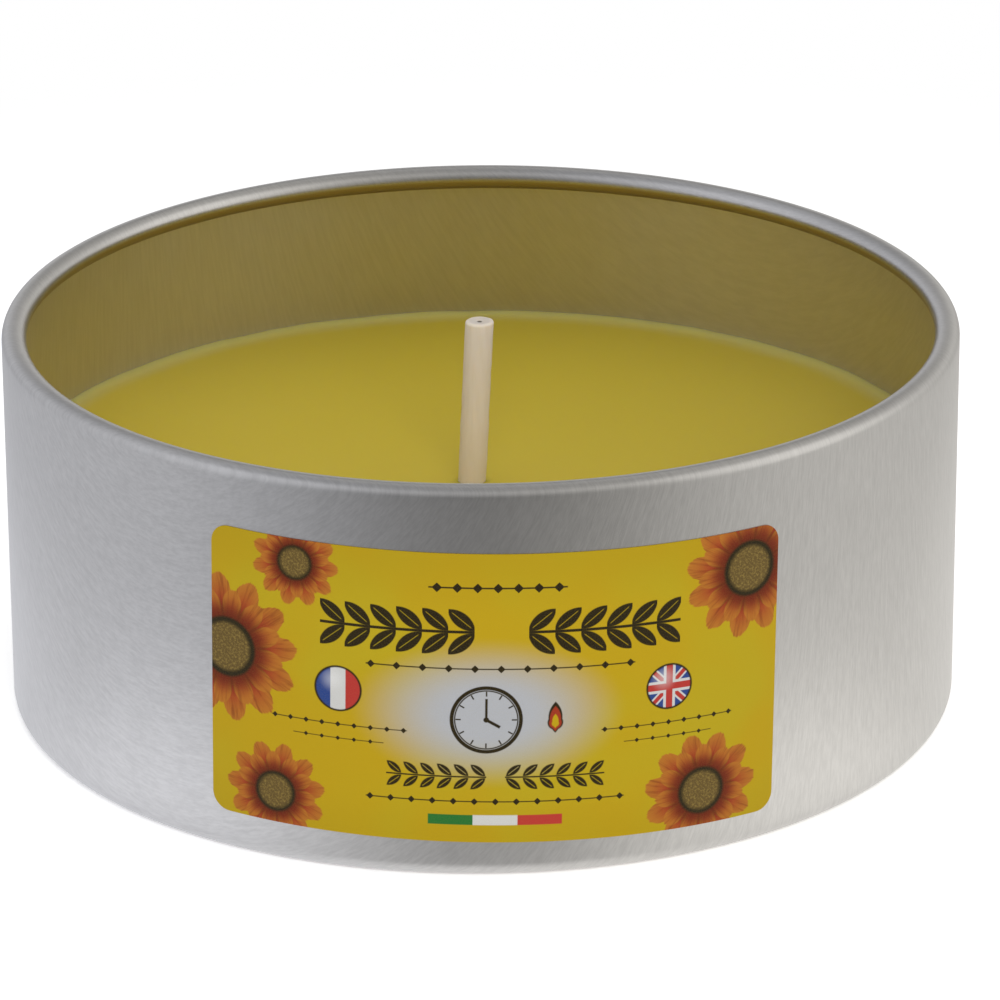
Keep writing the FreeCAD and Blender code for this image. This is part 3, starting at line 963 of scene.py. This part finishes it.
class CANDLE_OT_add_wick(bpy.types.Operator):
    """Raise the wick from the sustainer to its tip, with the pinhole in it"""

    bl_idname = "candle.add_wick"
    bl_label = "Add wick"
    bl_options = {"REGISTER", "UNDO"}

    def execute(self, context):
        wick = context.scene.candle.wick
        # The strands lift the tip by this much at most
        lift = 0.09 * MM
        tip = WICK_HIGH.z - lift
        gap = 1.2 * MM
        rises = [TAB_LOW.z + wick.neck + gap * step for step in range(34)]
        rises = [up for up in rises if up < tip - 0.6 * MM]
        rings = [(FOOT, wick.radius, WICK_LOW.z), *crimp_rings(wick, 0)]
        for number, up in enumerate(rises):
            uneven = 1 + 0.010 * math.sin(number * 1.7) + 0.008 * math.sin(number * 0.6 + 1)
            rings.append((wick_middle(wick, up), wick.radius * uneven, up))
        middle = wick_middle(wick, tip)
        flank, top = wick.radius - wick.edge, tip - wick.edge
        rings += [(middle, out, up) for _, out, up in arc(flank, top, wick.edge, 0, 90, 5, first=0)]
        hollow = 0.10 * MM
        rings += [
            (middle, wick.radius * 0.45, tip - hollow * 0.2),
            (middle, wick.pinhole * 1.9, tip - hollow),
            (middle, wick.pinhole, tip - 2.5 * hollow),
            (middle, wick.pinhole, tip - wick.pinhole_depth),
        ]
        piece = start_circle("wick", wick.segments, rings[0])
        draw_out(rings)
        bpy.ops.mesh.merge(type="CENTER")
        bpy.ops.mesh.select_all(action="DESELECT")
        bpy.ops.mesh.select_non_manifold()
        bpy.ops.mesh.edge_face_add()
        close_up()
        finish_with(
            piece, "DISPLACE", texture=clouds("wick_strands", 1.6 * MM, 2),
            texture_coords="LOCAL", strength=0.10 * MM, mid_level=0.5,
        )
        piece.data.materials.append(wick_surface(wick))
        place(piece, "wick", sharp=50)
        return {"FINISHED"}


class CANDLE_OT_finish_fittings(bpy.types.Operator):
    """Give the sustainer and the glue under it their surfaces"""

    bl_idname = "candle.finish_fittings"
    bl_label = "Finish sustainer and glue"
    bl_options = {"REGISTER", "UNDO"}

    def execute(self, context):
        surfaces = {"wick_sustainer": tinned_steel(), "sustainer_glue": glue_surface()}
        for node, material in surfaces.items():
            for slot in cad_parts[node].material_slots:
                slot.material = material
        return {"FINISHED"}


class CANDLE_OT_add_label(bpy.types.Operator):
    """Cut the label from flat paper, print it and wrap it round the wall"""

    bl_idname = "candle.add_label"
    bl_label = "Add label"
    bl_options = {"REGISTER", "UNDO"}

    def cut(self, label):
        """Flat paper with round corners, upright and facing -Y, cut into narrow strips."""
        bpy.ops.object.select_all(action="DESELECT")
        bpy.ops.mesh.primitive_plane_add(size=1, rotation=(math.pi / 2, 0, 0))
        piece = bpy.context.object
        piece.name = "label_sticker"
        piece.scale = (label.width, label.height, 1)
        bpy.ops.object.transform_apply(location=False, rotation=True, scale=True)
        bpy.ops.object.mode_set(mode="EDIT")
        bpy.ops.mesh.select_all(action="SELECT")
        bpy.ops.mesh.bevel(
            affect="VERTICES", offset_type="OFFSET", offset=label.corner, segments=10
        )
        strips = 72
        for number in range(1, strips):
            across = label.width * (number / strips - 0.5)
            bpy.ops.mesh.select_all(action="SELECT")
            bpy.ops.mesh.bisect(plane_co=(across, 0, 0), plane_no=(1, 0, 0))
        leave_edit_mode()
        return piece

    def lay_print(self, piece, label):
        """Give the flat paper the UV map that the print is drawn on."""
        mesh = piece.data
        for layer in list(mesh.uv_layers):
            mesh.uv_layers.remove(layer)
        layer = mesh.uv_layers.new(name="print")
        for corner in mesh.loops:
            spot = mesh.vertices[corner.vertex_index].co
            layer.data[corner.index].uv = (
                spot.x / label.width + 0.5, spot.z / label.height + 0.5
            )

    def execute(self, context):
        candle = context.scene.candle
        label = candle.label
        piece = self.cut(label)
        self.lay_print(piece, label)
        piece.rotation_euler = (0, label.tilt, 0)
        piece.location = (label.shift, 0, label.bottom + label.height / 2)
        bpy.ops.object.transform_apply(location=True, rotation=True, scale=True)
        reach = [vertex.co.x for vertex in piece.data.vertices]
        finish_with(
            piece, "SIMPLE_DEFORM", deform_method="BEND", deform_axis="Z",
            angle=(max(reach) - min(reach)) / candle.tin.radius,
        )
        piece.location = (0, -candle.tin.radius, 0)
        bpy.ops.object.transform_apply(location=True, rotation=False, scale=False)
        finish_with(piece, "SOLIDIFY", thickness=label.thickness, offset=1)
        piece.data.materials.append(label_surface(label))
        place(piece, "label")
        return {"FINISHED"}


class CANDLE_OT_set_stage(bpy.types.Operator):
    """Set up the floor, the white surroundings, the lamp and the camera"""

    bl_idname = "candle.set_stage"
    bl_label = "Set stage"
    bl_options = {"REGISTER", "UNDO"}

    def floor(self):
        """Pale floor: it keeps the candle's shadow close by and is white further off."""
        bpy.ops.object.select_all(action="DESELECT")
        bpy.ops.mesh.primitive_circle_add(vertices=96, radius=FLOOR_RADIUS, fill_type="NGON")
        floor = bpy.context.object
        floor.name = "floor"
        material = bpy.data.materials.new("pale_floor")
        nodes = Studio(material, "Object")
        out, front, ramp = nodes.out, nodes.front, nodes.ramp
        foot = 59.5 * MM
        level = ramp(out, 66 * MM, 150 * MM, 1.0, 0.78)

        rise = ramp(out, foot, 66 * MM, 0.05, 0.24)
        bright = nodes.less(rise, ramp(out, 80 * MM, 118 * MM, 0.0, 0.22))
        level = nodes.math("ADD", level, nodes.times(bright, ramp(front, 0.15, 0.65)))

        near = ramp(out, foot, 64 * MM, 0.0, 0.56)
        near = nodes.less(near, ramp(out, 85 * MM, 140 * MM, 0.0, 0.56))
        level = nodes.dimmed(level, near, front, power=10)
        level = nodes.dimmed(level, ramp(out, 85 * MM, 140 * MM, 0.0, 0.68), front, power=3)
        level = nodes.dimmed(level, ramp(out, 130 * MM, 200 * MM, 0.0, 0.34), nodes.back, power=2)

        seen, glossy, through = (
            nodes.paths[f"Is {kind} Ray"] for kind in ("Camera", "Glossy", "Transmission")
        )
        mirrored = nodes.math("MAXIMUM", glossy, through)
        far = nodes.times(seen, ramp(out, 75 * MM, 260 * MM))
        paper = nodes.blend(seen, shade(WHITE, 0.80), shade(WHITE, 1.5))
        glow = nodes.blend(mirrored, WHITE, nodes.tinted(level))
        mixed = nodes.node(
            "ShaderNodeMixShader", nodes.math("MAXIMUM", far, mirrored),
            nodes.node("ShaderNodeBsdfDiffuse", paper).outputs[0],
            nodes.node("ShaderNodeEmission", glow).outputs[0],
        )
        nodes.node("ShaderNodeOutputMaterial", mixed.outputs[0])
        floor.data.materials.append(material)

    def surroundings(self):
        """White to the camera, an even fill, and dimmer overhead and in front in reflections."""
        world = bpy.data.worlds.new("studio")
        bpy.context.scene.world = world
        nodes = Studio(world, "Generated")
        up, ramp = nodes.z, nodes.ramp
        level = ramp(up, 0.70, 1.0, 0.78, 0.42)
        level = nodes.dimmed(level, ramp(up, 0.10, 1.0, 0.74, 0.10), nodes.front, power=3)
        high = nodes.less(ramp(up, 0.20, 0.54, 0.0, 0.62), ramp(up, 0.60, 0.84, 0.0, 0.58))
        level = nodes.dimmed(level, high, nodes.back, power=2)
        for window, gain in ((RIGHT_WINDOW, RIGHT_GAIN), (LEFT_WINDOW, LEFT_GAIN)):
            near = nodes.vector("DOT_PRODUCT", nodes.spot, window)
            level = nodes.math("ADD", level, ramp(near, 0.80, 0.97, 0.0, gain))

        fill = shade(WHITE, FILL)
        lit = nodes.blend(nodes.paths["Is Diffuse Ray"], nodes.tinted(level), fill)
        lit = nodes.blend(nodes.paths["Is Camera Ray"], lit, WHITE)
        sky = nodes.node("ShaderNodeBackground", lit)
        nodes.node("ShaderNodeOutputWorld", sky.outputs[0])

    def add(self, name, data):
        made = bpy.data.objects.new(name, data)
        bpy.context.scene.collection.objects.link(made)
        return made

    def lamp(self):
        """Soft square lamp that the metal doesn't mirror."""
        data = bpy.data.lights.new("front_lamp", "AREA")
        data.shape = "SQUARE"
        data.size = LAMP_SIDE
        data.energy = LAMP_POWER
        lamp = self.add("front_lamp", data)
        lamp.visible_glossy = False
        lamp.location = LAMP_PLACE
        lamp.rotation_mode = "QUATERNION"
        lamp.rotation_quaternion = (LAMP_AIM - LAMP_PLACE).to_track_quat("-Z", "Y")

    def camera(self):
        """Camera that stands where the photograph's did."""
        data = bpy.data.cameras.new("camera")
        data.lens = CAMERA_LENS
        data.sensor_width = SENSOR_WIDTH
        camera = self.add("camera", data)
        turn = Matrix.Rotation(-CAMERA_YAW, 4, "Z")
        turn @= Matrix.Rotation(math.pi / 2 - CAMERA_PITCH, 4, "X")
        turn @= Matrix.Rotation(CAMERA_ROLL, 4, "Z")
        camera.matrix_world = Matrix.Translation(CAMERA_PLACE) @ turn
        bpy.context.scene.camera = camera

    def execute(self, context):
        self.floor()
        self.surroundings()
        self.lamp()
        self.camera()
        context.scene.view_settings.view_transform = "Standard"
        return {"FINISHED"}


class CANDLE_PT_build(bpy.types.Panel):
    """Lists the operators that build the candle"""

    bl_idname = "CANDLE_PT_build"
    bl_label = "Tin candle"
    bl_space_type = "VIEW_3D"
    bl_region_type = "UI"
    bl_category = "Tin candle"

    def draw(self, context):
        for step in OPERATORS:
            self.layout.operator(step.bl_idname)


SETTINGS = (TinSettings, WaxSettings, WickSettings, LabelSettings, CandleSettings)
OPERATORS = (
    CANDLE_OT_add_tin, CANDLE_OT_add_wax, CANDLE_OT_add_wick, CANDLE_OT_finish_fittings,
    CANDLE_OT_add_label, CANDLE_OT_set_stage,
)
CLASSES = (*SETTINGS, *OPERATORS, CANDLE_PT_build)


def register():
    for kind in CLASSES:
        bpy.utils.register_class(kind)
    bpy.types.Scene.candle = PointerProperty(type=CandleSettings)


def unregister():
    del bpy.types.Scene.candle
    for kind in reversed(CLASSES):
        bpy.utils.unregister_class(kind)


def main():
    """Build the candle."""
    register()
    bpy.ops.candle.add_tin()
    bpy.ops.candle.add_wax()
    bpy.ops.candle.add_wick()
    bpy.ops.candle.finish_fittings()
    bpy.ops.candle.add_label()
    bpy.ops.candle.set_stage()


if __name__ == "__main__":
    main()
